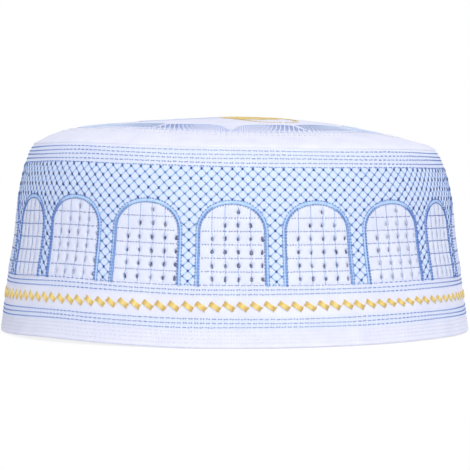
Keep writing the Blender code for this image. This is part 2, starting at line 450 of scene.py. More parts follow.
def band_section():
    """Rows of the wall's section, up the outer face, over the upper edge, down the inner face and
    under the rim: each row's height, its depth under the face, its share of the face's relief, and
    the number of the first row inside."""
    outer_step, inner_step = 0.95 * MM, 1.3 * MM
    crosslines = WINDOW_SILL + CROSSLINE_SPACING * np.arange(CROSSLINES + 1)
    eyelets = eyelet_height(np.arange(CROSSLINES + 1))
    lattice = np.arange(LATTICE_TOP, eyelets[-1] + MM, -LATTICE_TALL / 2)
    ends = [HEM_ROUNDING, BAND_HEIGHT - EDGE_ROUNDING]
    levels = anchor_levels(ends, HEM_ROWS, crosslines, eyelets, lattice, BLUE_ROWS)
    outer = subdivided(levels, outer_step)
    fold = [HEM_HEIGHT - 0.5 * MM, HEM_HEIGHT, HEM_HEIGHT + 0.4 * MM]
    levels = anchor_levels(ends, fold, crosslines, eyelets, [LOWER_ROWS[0], LATTICE_TOP])
    inner = subdivided(levels, inner_step)[::-1]

    hem = smooth_step(HEM_HEIGHT + 0.4 * MM, HEM_HEIGHT - 0.1 * MM, inner)
    wall = BAND_THICKNESS + (HEM_THICKNESS - BAND_THICKNESS) * hem
    top_depth = [EDGE_ROUNDING, BAND_THICKNESS - 0.3 * MM]
    low, low_depth = HEM_ROUNDING * 0.3, 0.2 * MM
    under_depth = [HEM_THICKNESS - low_depth, HEM_THICKNESS - HEM_ROUNDING, HEM_ROUNDING, low_depth]
    heights = np.concatenate([outer, [BAND_HEIGHT, BAND_HEIGHT], inner, [low, 0.0, 0.0, low]])
    depths = np.concatenate([0 * outer, top_depth, wall, under_depth])
    share = np.concatenate([1 + 0 * outer, [1, 0.4], 0.4 + 0 * inner, [0.2, 0.2, 0.2, 0.6]])
    return heights, depths[:, None], share[:, None], len(outer) + len(top_depth)


def open_eyelets(heights, inner_first):
    """The wall's grid with the points around each eyelet drawn in to a tear-shaped ring on both
    faces. Gives every point's azimuth and height, the azimuth not a number in the middle of an
    eyelet, and the numbers of the eight points of each eyelet's outer and inner ring."""
    draw = np.random.default_rng(11)
    columns, per_window, between = window_columns()
    azimuth, height = np.meshgrid(columns, heights)
    number = np.arange(azimuth.size).reshape(azimuth.shape)
    # Lower left first and anticlockwise, as seen from outside: rows up, columns to the right
    ring = np.array([(-1, -1), (-1, 0), (-1, 1), (0, 1), (1, 1), (1, 0), (1, -1), (0, -1)])
    angles = np.radians([225, 270, 315, 0, 45, 90, 135, 180])
    rings = []
    for window in range(WINDOW_COUNT):
        for row, upright in eyelet_places():
            column = window * per_window + (upright - UPRIGHTS[0]) * between
            away = np.abs(heights - eyelet_height(row))
            out_row = np.argmin(away[:inner_first])
            in_row = inner_first + np.argmin(away[inner_first:])
            wide = EYELET_WIDE * draw.uniform(0.75, 1.2)
            tall = EYELET_TALL * draw.uniform(0.8, 1.15)
            shift = draw.uniform(-0.15, 0.15) * MM
            if upright == UPRIGHTS[-1]:
                shift -= BORDER_CLEARANCE
            drop = draw.uniform(0.1, 0.45) * MM
            lean = draw.uniform(-0.3, 0.3)
            narrow, slide = draw.uniform(0.55, 0.9), draw.uniform(-0.3, 0.3) * MM
            for centre, upward, widen, aslant in ((out_row, 1, 1.0, 0), (in_row, -1, narrow, slide)):
                r = centre + upward * ring[:, 0]
                c = (column + ring[:, 1]) % len(columns)
                # A tear: wider towards its foot, and leaning a little
                reach = wide * widen * (1 - 0.3 * np.sin(angles))
                aside = reach * np.cos(angles) + lean * tall * np.sin(angles) * 0.5 + shift + aslant
                azimuth[r, c] = columns[column] + aside / PATTERN_RADIUS
                height[r, c] = eyelet_height(row) - drop + tall * widen * np.sin(angles)
                azimuth[centre, column] = np.nan
                rings.append(number[r, c])
    return azimuth, height, np.array(rings[0::2]), np.array(rings[1::2])


def build_band(material):
    """A closed quilted wall on one grid, its columns those of window_columns and its rows those of
    band_section. The four cells around the middle of each eyelet are left out on both faces, and the
    two rings around them are joined by a short sleeve."""
    heights, depths, share, inner_first = band_section()
    azimuth, height, out_ring, in_ring = open_eyelets(heights, inner_first)
    shape = azimuth.shape
    kept = ~np.isnan(azimuth)
    azimuth = np.where(kept, azimuth, 0.0)
    proud = share * band_relief(azimuth, height) - depths
    vertices = band_place(azimuth, height, proud).reshape(-1, 3)
    # The rim is flat, and nothing hangs below it
    rim = rim_lift(window_columns()[0]) + np.zeros(shape)
    level = np.where((heights == 0.0)[:, None], rim, vertices[:, 2].reshape(shape))
    vertices[:, 2] = np.maximum(level, rim).ravel()

    number = np.arange(azimuth.size).reshape(shape)
    quads = quads_between(number, np.roll(number, -1, axis=0))
    quads = quads[kept.ravel()[quads].all(axis=1)]
    faces = np.concatenate([quads, quads_between(out_ring, in_ring)])

    # Cloth places in millimetres: around the band, and along the section
    girth = azimuth.ravel() * PATTERN_RADIUS / MM
    climb = (height - 2 * depths).ravel() / MM
    places = np.stack([girth[faces], climb[faces]], axis=-1)
    wrap = TURN * PATTERN_RADIUS / MM
    crossing = np.ptp(places[..., 0], axis=1) > wrap / 2
    places[crossing, :, 0] += wrap * (places[crossing, :, 0] < wrap / 2)
    # Painted shade in the eyelets: a little on each outer ring, most on each sleeve's inner ring
    eyelet_shade = np.zeros(len(vertices))
    eyelet_shade[out_ring.ravel()], eyelet_shade[in_ring.ravel()] = 0.3, 0.9
    inside = (number.ravel() >= number[inner_first, 0]).astype(float)
    sewn = thread_cover(azimuth, height).ravel() * (1 - inside)
    shades = {"eyelet_shade": eyelet_shade, "inside": inside, "sewn": sewn}

    # Leaves out the points that no face uses, and numbers the others again
    used = np.unique(faces)
    again = np.full(len(vertices), -1)
    again[used] = np.arange(len(used))
    shades = {name: values[used] for name, values in shades.items()}
    faces = again[faces]
    return make_piece(
        "band_cloth", vertices[used], [faces], [places], material, "band_cotton", "side_band", shades
    )


def thread_cover(azimuth, height):
    """How much of the cloth is tinted by the threads that cross under it, 0 to 1: most along the
    lattice, some around the running rows, and little in the windows and on the plain hem."""
    level = arch_level(across(azimuth), height)
    lattice = smooth_step(0.98, 1.02, level) * smooth_step(LATTICE_TOP + 0.3 * MM, LATTICE_TOP, height)
    lattice = lattice * smooth_step(WINDOW_SILL - 0.3 * MM, WINDOW_SILL, height)
    window = (1 - smooth_step(0.98, 1.02, level)) * smooth_step(WINDOW_SILL - MM, WINDOW_SILL, height)
    rows = np.minimum(grooves(height, BLUE_ROWS, 1.0, 0.8 * MM), 1)
    x, y = across(azimuth) / LATTICE_WIDE, (FIRST_KNOTS - height) / LATTICE_TALL
    lattice = lattice * (1 - 0.55 * pillow(x + y, x - y))
    return np.clip(lattice + 0.45 * rows + 0.2 * window, 0, 1)


def build_crown(material):
    """A closed domed panel on one grid of sectors and rings: over the face from the edge to a middle
    point, and under it from a second middle point back out to the flat seat."""
    sectors, rings, rings_inside, innermost = 20 * WINDOW_COUNT, 84, 34, 0.012
    edge = crown_edge()
    seat_inner = edge - BAND_THICKNESS - SEAM_GAP
    near_edge = [1.0, 0.998, 0.995, 0.990]
    over = np.concatenate([near_edge, np.linspace(0.984, innermost, rings)])
    under = np.linspace(innermost, seat_inner / edge - 0.004, rings_inside)
    azimuth = TURN * np.arange(sectors) / sectors
    shares = np.concatenate([over, under])
    turn, share = np.meshgrid(azimuth, shares)
    x, y = share * edge * np.sin(turn), -share * edge * np.cos(turn)
    upper = (np.arange(len(shares)) < len(over))[:, None]
    relief = crown_relief(x, y) * np.where(share > 0.99, 0.3, 1.0)
    face = crown_place(x, y, np.where(upper, relief, 0.4 * relief))
    inner_level = np.maximum(face[..., 2] - CROWN_THICKNESS, seat_level(turn))
    face[..., 2] = np.where(upper, face[..., 2], inner_level)
    # The seat: two rings on the band's upper edge, the outer one lapped a little over it
    seat = seat_level(azimuth) - 0.28 * MM
    seat_in = turned(azimuth, seat_inner, seat)[None]
    seat_out = turned(azimuth, edge + 0.05 * MM, seat - 0.25 * MM)[None]
    middle = np.zeros(1)
    top = crown_place(middle, middle, crown_relief(middle, middle))
    grid = np.concatenate([seat_out, face, seat_in])
    vertices = np.concatenate([grid.reshape(-1, 3), top, top - [0, 0, CROWN_THICKNESS]])

    number = np.arange(len(grid) * sectors).reshape(-1, sectors)
    upper_rows, lower_rows = number[: 1 + len(over)], number[1 + len(over) :]
    strips = [quads_between(rows[:-1], rows[1:]) for rows in (upper_rows, lower_rows)]
    quads = np.concatenate(strips + [quads_between(number[-1], number[0])])
    first, last = upper_rows[-1], lower_rows[0]
    apex = np.full(sectors, number.size)
    caps = np.concatenate(
        [
            np.stack([first, np.roll(first, -1), apex], axis=-1),
            np.stack([np.roll(last, -1), last, apex + 1], axis=-1),
        ]
    )
    # Cloth places: plan millimetres, so the weave runs straight over the panel
    plan = vertices[:, :2] / MM
    uvs = [plan[quads], plan[caps]]
    return make_piece("crown_cloth", vertices, [quads, caps], uvs, material, "crown_cotton", "crown")


# Threads


class Seam:
    """Stitches as arrays: where each starts and ends on the cloth, and the cloth's normal there."""

    def __init__(self, starts, ends, normals):
        self.starts, self.ends, self.normals = starts, ends, normals

    def flank(self):
        """Where each stitch starts, as `flank` gives it."""
        return flank(self.starts[:, 0], self.starts[:, 1])


def together(seams):
    """Several seams as one."""
    parts = [(seam.starts, seam.ends, seam.normals) for seam in seams]
    return Seam(*(np.concatenate(same) for same in zip(*parts)))


def band_seam(azimuth_a, height_a, azimuth_b, height_b, proud=0.0):
    """Stitches between pairs of places on the band."""
    starts = band_place(azimuth_a, height_a, band_relief(azimuth_a, height_a) + proud)
    ends = band_place(azimuth_b, height_b, band_relief(azimuth_b, height_b) + proud)
    return Seam(starts, ends, band_normal((azimuth_a + azimuth_b) / 2, (height_a + height_b) / 2))


def crown_seam(a, b, proud=0.0):
    """Stitches between pairs of plan points on the crown, given as two arrays of (x, y)."""
    starts = crown_place(a[:, 0], a[:, 1], crown_relief(a[:, 0], a[:, 1]) + proud)
    ends = crown_place(b[:, 0], b[:, 1], crown_relief(b[:, 0], b[:, 1]) + proud)
    middle = (a + b) / 2
    return Seam(starts, ends, crown_normal(middle[:, 0], middle[:, 1]))


def flank(x, y):
    """-1 far round to the left, 0 over the front and the back, 1 far round to the right."""
    sideways = x / np.maximum(np.hypot(x, y), MM)
    return np.sign(sideways) * smooth_step(0.3, 0.9, np.abs(sideways))


def flank_at(azimuth):
    """The same by the azimuth."""
    return flank(np.sin(azimuth), np.cos(azimuth))


def sew(name, seam, width, yarn, sides=4, height=0.75, slack=0.35, taper=0.14, shadow=(0, 0)):
    """Every stitch as one closed spindle: rings of `sides` points at three places along it, between
    two tips that go down into the cloth. The middle ring is the widest and highest, and `height`
    and `slack` are shares of the width. `yarn` is the thread's name in THREADS, and `shadow` how much
    of its flank colour it gets on the cap's left and right: a painted shade, which for the fans' rays
    is a painted paler tone."""
    along = seam.ends - seam.starts
    length = np.linalg.norm(along, axis=1, keepdims=True)
    forward = along / np.maximum(length, 1e-9)
    aside = unit(np.cross(forward, seam.normals))
    upward = unit(np.cross(aside, forward))
    half = np.broadcast_to(np.asarray(width) / 2, (len(length),))[:, None]
    stations = ((taper, 0.80, 0.15), (0.5, 1.0, slack), (1 - taper, 0.80, 0.15))
    turns = TURN * (np.arange(sides) + 0.5) / sides
    rings = []
    for at, swell, lift in stations:
        centre = seam.starts + along * at + upward * half * 2 * lift
        for turn in turns:
            offset = aside * math.cos(turn) + upward * math.sin(turn) * height
            rings.append(centre + offset * half * swell)
    tips = [seam.starts - upward * half * 0.8, seam.ends - upward * half * 0.8]
    vertices = np.stack(rings + tips, axis=1)
    per_stitch = vertices.shape[1]

    k = np.arange(sides)
    after = (k + 1) % sides
    belt = np.stack([k, sides + k, sides + after, after], axis=1)
    last = (len(stations) - 1) * sides
    quads = np.concatenate([first + belt for first in range(0, last, sides)])
    start_tip, end_tip = per_stitch - 2, per_stitch - 1
    caps = np.concatenate(
        [
            np.stack([k, after, np.full(sides, start_tip)], axis=1),
            np.stack([last + after, last + k, np.full(sides, end_tip)], axis=1),
        ]
    )
    offsets = per_stitch * np.arange(len(length))[:, None, None]
    # Painted shading on the flanks: the share of the thread's flank colour, set by `shadow`
    side = seam.flank()
    painted_flank_shading = shadow[0] * np.maximum(-side, 0) + shadow[1] * np.maximum(side, 0)

    # Thread places: millimetres along the thread, turns around it
    at = np.repeat([station[0] for station in stations], sides)
    lengths = length / MM
    u = np.concatenate([lengths * at, 0 * lengths, lengths], axis=1)
    v = np.concatenate([np.tile(k / sides, len(stations)), [0.5, 0.5]])
    v = np.broadcast_to(v, u.shape)
    uv = np.stack([u, v], axis=-1)
    uv_quads = uv[:, quads]
    # The last side's far edge is a whole turn round, not back at the start
    closing = (quads % sides == 0) & (quads.max(axis=1, keepdims=True) % sides == sides - 1)
    uv_quads[..., 1] += closing
    return make_piece(
        name,
        vertices.reshape(-1, 3),
        [(quads[None] + offsets).reshape(-1, 4), (caps[None] + offsets).reshape(-1, 3)],
        [uv_quads.reshape(-1, 4, 2), uv[:, caps].reshape(-1, 3, 2)],
        *thread(yarn),
        attributes={
            "along": np.tile(np.concatenate([at, [0.0, 1.0]]), len(length)),
            "painted_flank_shading": np.repeat(painted_flank_shading, per_stitch),
        },
    )


def pairing(azimuth, front, side):
    """How far every second stitch of a row is moved back to the one before it, as a share of the
    pitch: `front` over the front and back, `side` on the flanks."""
    share = np.abs(flank_at(azimuth))
    return (front + (side - front) * share) * (np.arange(len(azimuth)) % 2)


def running_row(height, pitch, stitch, draw):
    """One row of stitches right round the band, a little uneven in place and length."""
    radius = band_radius(height)
    count = 2 * round(TURN * radius / pitch / 2)
    step = TURN / count
    places = step * (np.arange(count) + draw.uniform(0, 1))
    starts = places - step * (pairing(places, 0.18, 0.40) + draw.normal(0, 0.05, count))
    spans = stitch / radius * draw.uniform(0.9, 1.1, count)
    drift = height + 0.10 * MM * np.sin(7 * starts + 900 * height)
    low, high = drift + draw.normal(0, 0.06 * MM, (2, count))
    return band_seam(starts, low, starts + spans, high)


def running_rows(heights, pitch, stitch, draw):
    """A running row at each of the heights, as one seam."""
    return together([running_row(height, pitch, stitch, draw) for height in heights])


def window_threads(draw):
    """Crosslines and uprights inside the satin borders, as two seams. An upright runs beside each of
    its eyelets: it moves aside by 0.5 mm x exp(-((height - eyelet) / 0.8 mm)^2)."""
    pitch, stitch, bend = 1.10 * MM, 0.62 * MM, 0.8 * MM
    clear = 1 - (SATIN_HALF + 0.1 * MM) / ARCH_HALF
    crosslines, uprights = [], []
    count = 2 * round(TURN * PATTERN_RADIUS / pitch / 2)
    for line in range(1, CROSSLINES + 1):
        height = WINDOW_SILL + line * CROSSLINE_SPACING
        first = TURN * (np.arange(count) + draw.normal(0, 0.06, count)) / count
        first = first - TURN / count * pairing(first, 0.05, 0.33)
        last = first + stitch * draw.uniform(0.85, 1.1, count) / PATTERN_RADIUS
        inside = arch_level(across(np.stack([first, last])), height).max(axis=0) < clear
        level = height + draw.normal(0, 0.05 * MM, (2, count))
        crosslines.append(np.stack([first, level[0], last, level[1]])[:, inside])
    turns = WINDOW_TURNS[:, None]
    steps = np.arange(int((ARCH_SPRING + ARCH_RISE - WINDOW_SILL) / pitch))
    for upright in UPRIGHTS[:-1]:
        along = UPRIGHT_OFFSET + upright * UPRIGHT_SPACING
        low = WINDOW_SILL + pitch * (steps + draw.uniform(0.0, 0.5, (WINDOW_COUNT, 1)))
        high = low + pitch * draw.uniform(0.85, 1.0, low.shape)
        rows = [row for row, place in eyelet_places() if place == upright]
        sides = draw.choice([-1.0, 1.0], (len(rows), WINDOW_COUNT, 1))
        lean = 0.25 * MM * np.sin(low / (9 * MM) + turns * 5)
        heights = np.stack([low, high])
        shift = np.zeros(heights.shape)
        for row, side in zip(rows, sides):
            shift += side * 0.5 * MM * np.exp(-(((heights - eyelet_height(row)) / bend) ** 2))
        first, last = turns + (along + lean + shift) / PATTERN_RADIUS
        inside = arch_level(along, high) < clear
        uprights.append(np.stack([first, low, last, high])[:, inside])
    return [band_seam(*np.concatenate(part, axis=1)) for part in (crosslines, uprights)]


def lattice_parts(draw):
    """The diagonals, one stitch to a side of each diamond, and the tight stitches on the two kinds of
    crossing: one upright stitch where x and y are whole, and a pair where they are halves. The lines
    are p = x + y and q = x - y at whole numbers, x and y counted in diamonds."""
    columns = LATTICE_COLUMNS * WINDOW_COUNT
    rows = int((LATTICE_TOP - WINDOW_SILL) / LATTICE_TALL * 2) + 1
    half_x, half_y = np.meshgrid(np.arange(2 * columns), np.arange(-1, rows))
    crossing = (half_x + half_y) % 2 == 0
    x, y = half_x[crossing] / 2, half_y[crossing] / 2
    strong = half_x[crossing] % 2 == 0
    step = WINDOW_PITCH / LATTICE_COLUMNS
    clear = 1 + (SATIN_HALF + 0.15 * MM) / ARCH_HALF

    def place(px, py):
        return WINDOW_TURN + px * step, FIRST_KNOTS - py * LATTICE_TALL

    def outside(azimuth, height):
        clear_of_rows = (height > WINDOW_SILL + 0.3 * MM) & (height < LATTICE_TOP - 0.3 * MM)
        return (arch_level(across(azimuth), height) > clear) & clear_of_rows

    # Each side runs from a crossing to the next one right, down or up, as far as it lies outside
    # the satin borders and under the top row
    share = np.linspace(0, 1, 21)[:, None]
    sides = []
    for down in (1, -1):
        azimuth, height = place(x + 0.5 * share, y + 0.5 * down * share)
        under = arch_level(across(azimuth), height) > 1 + 0.3 * SATIN_HALF / ARCH_HALF
        under &= (height < LATTICE_TOP) & (height > WINDOW_SILL)
        first = share[np.argmax(under, axis=0), 0]
        last = share[len(share) - 1 - np.argmax(under[::-1], axis=0), 0]
        keep = under.any(axis=0) & (last - first > 0.15)
        ax, ay = place(x + 0.5 * first, y + 0.5 * down * first)
        bx, by = place(x + 0.5 * last, y + 0.5 * down * last)
        sides.append(band_seam(ax[keep], ay[keep], bx[keep], by[keep], 0.05 * MM))
    falling, rising = sides

    azimuth, height = place(x, y)
    keep = outside(azimuth, height)
    azimuth, height, strong = azimuth[keep], height[keep], strong[keep]
    loose = 0.06 + 0.16 * np.abs(flank_at(azimuth))
    jitter = loose * draw.normal(0, 1, (2, len(azimuth))) * MM
    azimuth, height = azimuth + jitter[0] / PATTERN_RADIUS, height + jitter[1]
    # A knot stands upright over the front, and leans outwards and is longer on the flanks
    a, h = azimuth[strong], height[strong]
    side = flank_at(a)
    tall, lean = (0.50 + 0.15 * np.abs(side)) * MM, 0.65 * side * MM / PATTERN_RADIUS
    upright = band_seam(a - lean, h - tall, a + lean, h + tall, 0.06 * MM)
    a, h = azimuth[~strong], height[~strong]
    small, wide = 0.20 * MM, 0.20 * MM / PATTERN_RADIUS
    pairs = [band_seam(a + s * wide, h - small, a + s * wide, h + small, 0.08 * MM) for s in (-1, 1)]
    return falling, rising, upright, together(pairs)


def arch_path(count):
    """The border's middle line from one foot to the other at even steps: up the left leg, over the
    superellipse x = a cos^(2/n) t, y = b sin^(2/n) t, and down the right leg."""
    foot = WINDOW_SILL - 0.3 * MM
    t = np.linspace(0, math.pi, 721)
    curve_x = -ARCH_HALF * np.sign(np.cos(t)) * np.abs(np.cos(t)) ** (2 / ARCH_POWER)
    curve_y = ARCH_SPRING + ARCH_RISE * np.abs(np.sin(t)) ** (2 / ARCH_POWER)
    x = np.concatenate([[-ARCH_HALF], curve_x, [ARCH_HALF]])
    y = np.concatenate([[foot], curve_y, [foot]])
    run = np.concatenate([[0], np.cumsum(np.hypot(np.diff(x), np.diff(y)))])
    at = np.linspace(0, run[-1], count)
    x, y = np.interp(at, run, x), np.interp(at, run, y)
    along_x, along_y = np.gradient(x), np.gradient(y)
    size = np.hypot(along_x, along_y)
    return x, y, -along_y / size, along_x / size, run[-1]


def build_satin():
    """A padded border along each arch: the section is a low dome, height x (1 - c^2)^0.25 across it,
    ribbed once for every strand that is laid across the path. Arrays run over the windows, the
    path's points and the section's points."""
    draw = np.random.default_rng(23)
    strands = round(arch_path(2)[4] / SATIN_STRAND)
    x, y, nx, ny = (part[:, None] for part in arch_path(2 * strands + 1)[:4])
    across_top = np.array([-1.0, -0.66, -0.24, 0.24, 0.66, 1.0])
    c = np.concatenate([across_top, [0.7, -0.7]])
    dome = np.concatenate([(1 - across_top**2) ** 0.25, [-0.5, -0.5]])
    ridge = np.arange(len(x))[:, None] % 2
    shape = (WINDOW_COUNT, len(x), len(c))
    reach = SATIN_HALF * c * (1 + 0.05 * draw.normal(0, 1, (WINDOW_COUNT, len(x), 1)) + 0.05 * ridge)
    # How far down the sides of the arch each point lies: 0 at the crest, 1 on the legs
    descent = smooth_step(ARCH_SPRING + 0.95 * ARCH_RISE, ARCH_SPRING + 0.6 * ARCH_RISE, y)
    inner = np.broadcast_to(descent * (c < -0.2), shape)
    # Strands lie a little aslant: the right edge is sewn half a strand further on
    slant = 0.45 * SATIN_STRAND * c
    px = x + nx * reach + ny * slant
    py = y + ny * reach - nx * slant
    azimuth = WINDOW_TURNS[:, None, None] + px / PATTERN_RADIUS
    proud = SATIN_PROUD * dome + 0.07 * MM * ridge * (dome > 0)
    vertices = band_place(azimuth, py, proud + band_relief(azimuth, py))
    # Painted shade: round the flanks the border's outward side is darkened, the more of it the further
    # round
    side = flank(vertices[..., 0], vertices[..., 1])
    outward = np.sign(side) * nx * c
    edge = 1.0 - 1.5 * np.abs(side)
    upright = smooth_step(0.3, 0.9, np.abs(nx))
    painted_flank_shading = 0.85 * np.abs(side) ** 0.5 * smooth_step(edge - 0.3, edge + 0.3, outward) * upright
    number = np.arange(vertices.size // 3).reshape(shape)
    around = np.roll(number, -1, axis=2)
    quads = np.stack([number[:, :-1], number[:, 1:], around[:, 1:], around[:, :-1]], axis=-1)
    quads = quads.reshape(-1, 4)
    ends = np.concatenate([number[:, 0, :], number[:, -1, ::-1]])
    steps = np.arange(len(x))[:, None] * SATIN_STRAND / 2
    u, v = (np.broadcast_to(part / MM, shape).ravel() for part in (steps, c * SATIN_HALF))
    uv = np.stack([u, v], axis=-1)
    return make_piece(
        "arch_satin",
        vertices.reshape(-1, 3),
        [quads, ends],
        [uv[quads], uv[ends]],
        *thread("satin_blue"),
        attributes={"inner": inner.ravel(), "painted_flank_shading": painted_flank_shading.ravel()},
    )


def arch_edging(draw):
    """A row of stitches along each edge of every satin border, and one more between its two strands
    on the flanks of the arch, where it wanders a little."""
    pitch, stitch = 1.15 * MM, 0.62
    seams = []
    for offset in (-SATIN_HALF - 0.08 * MM, SATIN_HALF + 0.08 * MM, -0.22 * MM):
        count = round(arch_path(2)[4] / pitch)
        x, y, nx, ny, _ = arch_path(count + 1)
        reach, proud = 1.2, 0.16 * MM
        if abs(offset) < SATIN_HALF:
            offset = offset + 0.12 * MM * np.sin(y / (3.1 * MM) + np.sign(x))
            reach, proud = 0.8, 0.36 * MM
        x, y = x + nx * offset, y + ny * offset
        shown = y[:-1] < ARCH_SPRING + reach * ARCH_RISE
        for turn in WINDOW_TURNS:
            height = y + draw.normal(0, 0.05 * MM, len(y))
            azimuth = turn + x / PATTERN_RADIUS + draw.normal(0, 0.05 * MM, len(x)) / PATTERN_RADIUS
            end_azimuth = azimuth[:-1] + np.diff(azimuth) * stitch
            end_height = height[:-1] + np.diff(height) * stitch
            places = np.stack([azimuth[:-1], height[:-1], end_azimuth, end_height])[:, shown]
            seams.append(band_seam(*places, proud))
    return together(seams)


def gold_row(draw):
    """Slanting blocks of satin strands: a strand runs down to the right by GOLD_RUN, and the strands
    of a block are stacked along GOLD_STEP, so that a block is a leaning parallelogram."""
    radius = band_radius(GOLD_ROW)
    block = np.repeat(np.arange(GOLD_BLOCKS), GOLD_STRANDS)
    place = np.tile(np.linspace(-0.5, 0.5, GOLD_STRANDS), GOLD_BLOCKS)
    wobble = draw.normal(0, 0.10 * MM, (3, GOLD_BLOCKS))[:, block]
    middle_x = GOLD_STEP[0] * place + wobble[0]
    middle_y = GOLD_STEP[1] * place + wobble[1]
    # The highest strand starts further left and the lowest ends further right, with ragged ends
    early = 0.5 + 0.03 * (place > 0.4) + draw.normal(0, 0.03, len(place))
    late = 0.5 + 0.03 * (place < -0.4) + draw.normal(0, 0.03, len(place))
    azimuth = GOLD_TURN + TURN * block / GOLD_BLOCKS
    flat = 1 - 0.2 * np.maximum(flank_at(azimuth), 0)
    blocks = band_seam(
        azimuth + (middle_x - GOLD_RUN[0] * early) / radius,
        GOLD_ROW + (middle_y - GOLD_RUN[1] * early) * flat,
        azimuth + (middle_x + GOLD_RUN[0] * late) / radius,
        GOLD_ROW + (middle_y + GOLD_RUN[1] * late) * flat,
        0.10 * MM,
    )
    # Two thin threads lead from each block's right end up to the next block's left end
    lead = GOLD_TURN + TURN * np.arange(GOLD_BLOCKS) / GOLD_BLOCKS
    corner = ((GOLD_RUN[0] + GOLD_STEP[0]) / 2 - 0.25 * MM) / radius
    first, last = lead + corner, lead + TURN / GOLD_BLOCKS - corner
    climb = -(GOLD_RUN[1] + GOLD_STEP[1]) / 2
    levels = [GOLD_ROW + rise + 0 * lead for rise in (-0.12 * MM, 0.12 * MM)]
    return blocks, together([band_seam(first, at - climb, last, at + climb) for at in levels])


def fans_and_ring(draw):
    """The crown's ring: radial stitches from its outer edge in to each fan's outline, rows of
    stitches along the outline and along the edge, and two rows of white thread outside it."""

    def plan(angle, radius):
        x, y = RING_CENTRE
        return np.stack([x + radius * np.sin(angle), y - radius * np.cos(angle)], axis=-1)

    lines = FANS * FAN_RAYS
    angle = TURN * (np.arange(lines) + 0.5) / lines
    depth = RING_RADIUS - fan_reach(angle)
    # Every other ray is sewn half a stitch further in
    late = 0.5 * (np.arange(lines) % 2)
    # The rays of a fan lean towards its middle as they run inwards
    lean = -0.025 * fan_place(angle)
    rays = []
    for piece in range(RAY_STITCHES):
        ends = [np.minimum((piece + end + late) / RAY_STITCHES, 1) for end in (0, 0.85)]
        a, b = (plan(angle + lean * end, RING_RADIUS - depth * end) for end in ends)
        long_enough = depth * (ends[1] - ends[0]) > 0.2 * MM
        rays.append(crown_seam(a[long_enough], b[long_enough], 0.05 * MM))

    turn = TURN * np.arange(OUTLINE_STITCHES + 1) / OUTLINE_STITCHES
    points = plan(turn, fan_reach(turn))
    outline = crown_seam(points[:-1], points[:-1] + 0.9 * np.diff(points, axis=0), 0.05 * MM)
    count = round(TURN * RING_RADIUS / (1.35 * MM))
    turn = TURN * np.arange(count) / count
    radius = RING_RADIUS + draw.normal(0, 0.06 * MM, count)
    ring = crown_seam(plan(turn, radius), plan(turn + TURN * 0.7 / count, radius), 0.04 * MM)

    white = []
    for radius in (RING_RADIUS + 3 * MM, RING_RADIUS + 6 * MM):
        count = round(TURN * radius / (2.17 * MM))
        turn = TURN * (np.arange(count) + draw.normal(0, 0.05, count)) / count
        ends = plan(turn, radius), plan(turn + TURN * 0.6 / count, radius)
        white.append(crown_seam(*ends, 0.04 * MM))
    return together(rays), together([outline, ring]), together(white)


def crown_petal(turn, wide):
    """One long rounded petal from the crown's middle outwards. Its half width is
    w (1 - |2u - 1|^4)^(1/2), u running from 0 at the middle to 1 at the tip: strands from its spine
    outwards fill its inner part, and two thin outlines run round the whole."""
    outward = np.array([math.sin(turn), -math.cos(turn)])
    side = np.array([outward[1], -outward[0]])

    def plan(u, share):
        half = wide * (1 - (2 * u - 1) ** 4) ** 0.5
        return PETAL_REACH * u[:, None] * outward + (share * half)[:, None] * side

    low, high = PETAL_FILLED
    u = np.linspace(low, high, PETAL_STRANDS)
    middle, reach = (low + high) / 2, (high - low) / 2
    rounded = (1 - np.abs((u - middle) / reach * 0.98) ** 6) ** 0.5
    slope = 3 * MM * outward
    at = np.linspace(0, 1, 46)
    fill, lines = [], []
    for sign in (-1, 1):
        for near, far in ((0.02, 0.46), (0.43, 0.86)):
            a, b = plan(u, sign * near * rounded), plan(u, sign * far * rounded)
            fill.append(crown_seam(a + near * slope, b - far * slope, 0.05 * MM))
        for share in (0.88, 1.0):
            points = plan(at, sign * share)
            ends = points[:-1] + 0.92 * np.diff(points, axis=0)
            lines.append(crown_seam(points[:-1], ends, 0.05 * MM))
    return together(fill), together(lines)


def crown_flower():
    """Four petals and a round middle of radial strands: two petals across the crown are gold, and the
    two narrower ones between them white. Gives the gold strands and lines, then the white ones."""
    quarter = TURN / 4
    gold = [crown_petal(PETAL_TURN + k * quarter, PETAL_HALF) for k in (0, 2)]
    white = [crown_petal(PETAL_TURN + k * quarter, 0.8 * PETAL_HALF) for k in (1, 3)]
    turn = TURN * np.arange(MIDDLE_STRANDS) / MIDDLE_STRANDS
    around = np.stack([np.sin(turn), -np.cos(turn)], axis=-1)
    middle = crown_seam(around * 0.8 * MM, around * 5.2 * MM, 0.05 * MM)
    (fills, lines), whites = zip(*gold), zip(*white)
    return [together(seams) for seams in ((*fills, middle), lines, *whites)]


# Finishes

COTTON = {
    "light": (0.775, 0.78, 0.885),
    "shade": (0.70, 0.705, 0.83),
    "tint": (0.58, 0.70, 0.90),
    # Painted shade in and around the eyelets
    "rim": (0.30, 0.31, 0.50),
}
# Painted shade: the colour that threads take on the cap's left and right flanks
SHADOW_BLUE = (0.05, 0.16, 0.60)
